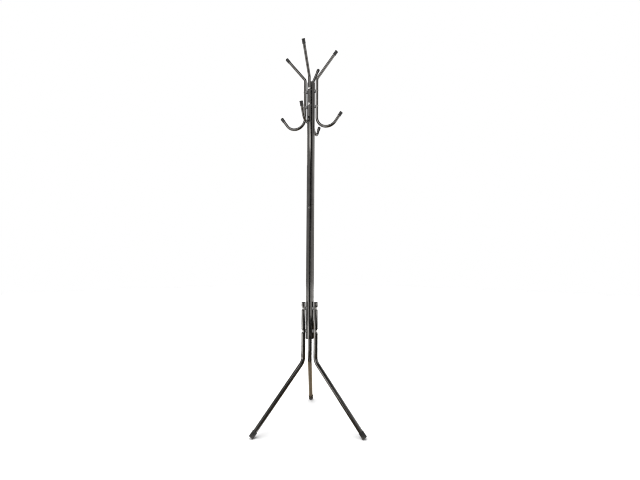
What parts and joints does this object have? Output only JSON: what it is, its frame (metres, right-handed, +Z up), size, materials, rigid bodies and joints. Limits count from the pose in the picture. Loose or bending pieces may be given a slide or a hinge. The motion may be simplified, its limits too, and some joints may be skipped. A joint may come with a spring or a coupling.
{
  "type": "standing coat rack",
  "caption": "Free-standing coat rack: a slim tube pole on splayed tube legs, with bent tube hangers at the top that each form a slanted prong and a hook.",
  "frame": {"origin": "centre of the footprint's bounding box, on the floor", "axes": "+Z up along the pole; each hanger points along one of +X, -X, +Y and -Y; -Y is the front, where the joint screw is"},
  "size_m": [0.4587, 0.4587, 1.7001],
  "materials": {
    "tube": "polished black nickel plating on steel tube",
    "plastic": "black, slightly glossy moulded plastic",
    "foot": "black soft plastic, satin",
    "spacer": "grey moulded plastic, satin",
    "screw": "bright nickel plating",
    "joint_screw": "grey nickel plating",
    "nut": "zinc plated"
  },
  "bodies": {
    "root": {"upper_pole": "tube", "lower_pole": "tube", "pole_top_cap": "plastic", "pole_bottom_plug": "plastic", "joint_screw": "joint_screw", "joint_nut": "nut", "front_hanger": "tube", "right_hanger": "tube", "back_hanger": "tube", "left_hanger": "tube", "front_prong_cap": "plastic", "right_prong_cap": "plastic", "back_prong_cap": "plastic", "left_prong_cap": "plastic", "front_hook_cap": "plastic", "right_hook_cap": "plastic", "back_hook_cap": "plastic", "left_hook_cap": "plastic", "front_hanger_spacers": "spacer", "right_hanger_spacers": "spacer", "back_hanger_spacers": "spacer", "left_hanger_spacers": "spacer", "front_hanger_screws": "screw", "right_hanger_screws": "screw", "back_hanger_screws": "screw", "left_hanger_screws": "screw", "hanger_rivet_nuts": "nut", "left_leg": "tube", "right_leg": "tube", "rear_leg": "tube", "left_leg_plug": "plastic", "right_leg_plug": "plastic", "rear_leg_plug": "plastic", "left_foot_cap": "foot", "right_foot_cap": "foot", "rear_foot_cap": "foot", "left_leg_spacers": "spacer", "right_leg_spacers": "spacer", "rear_leg_spacers": "spacer", "left_leg_screws": "screw", "right_leg_screws": "screw", "rear_leg_screws": "screw", "leg_rivet_nuts": "nut"}
  },
  "joints": []
}
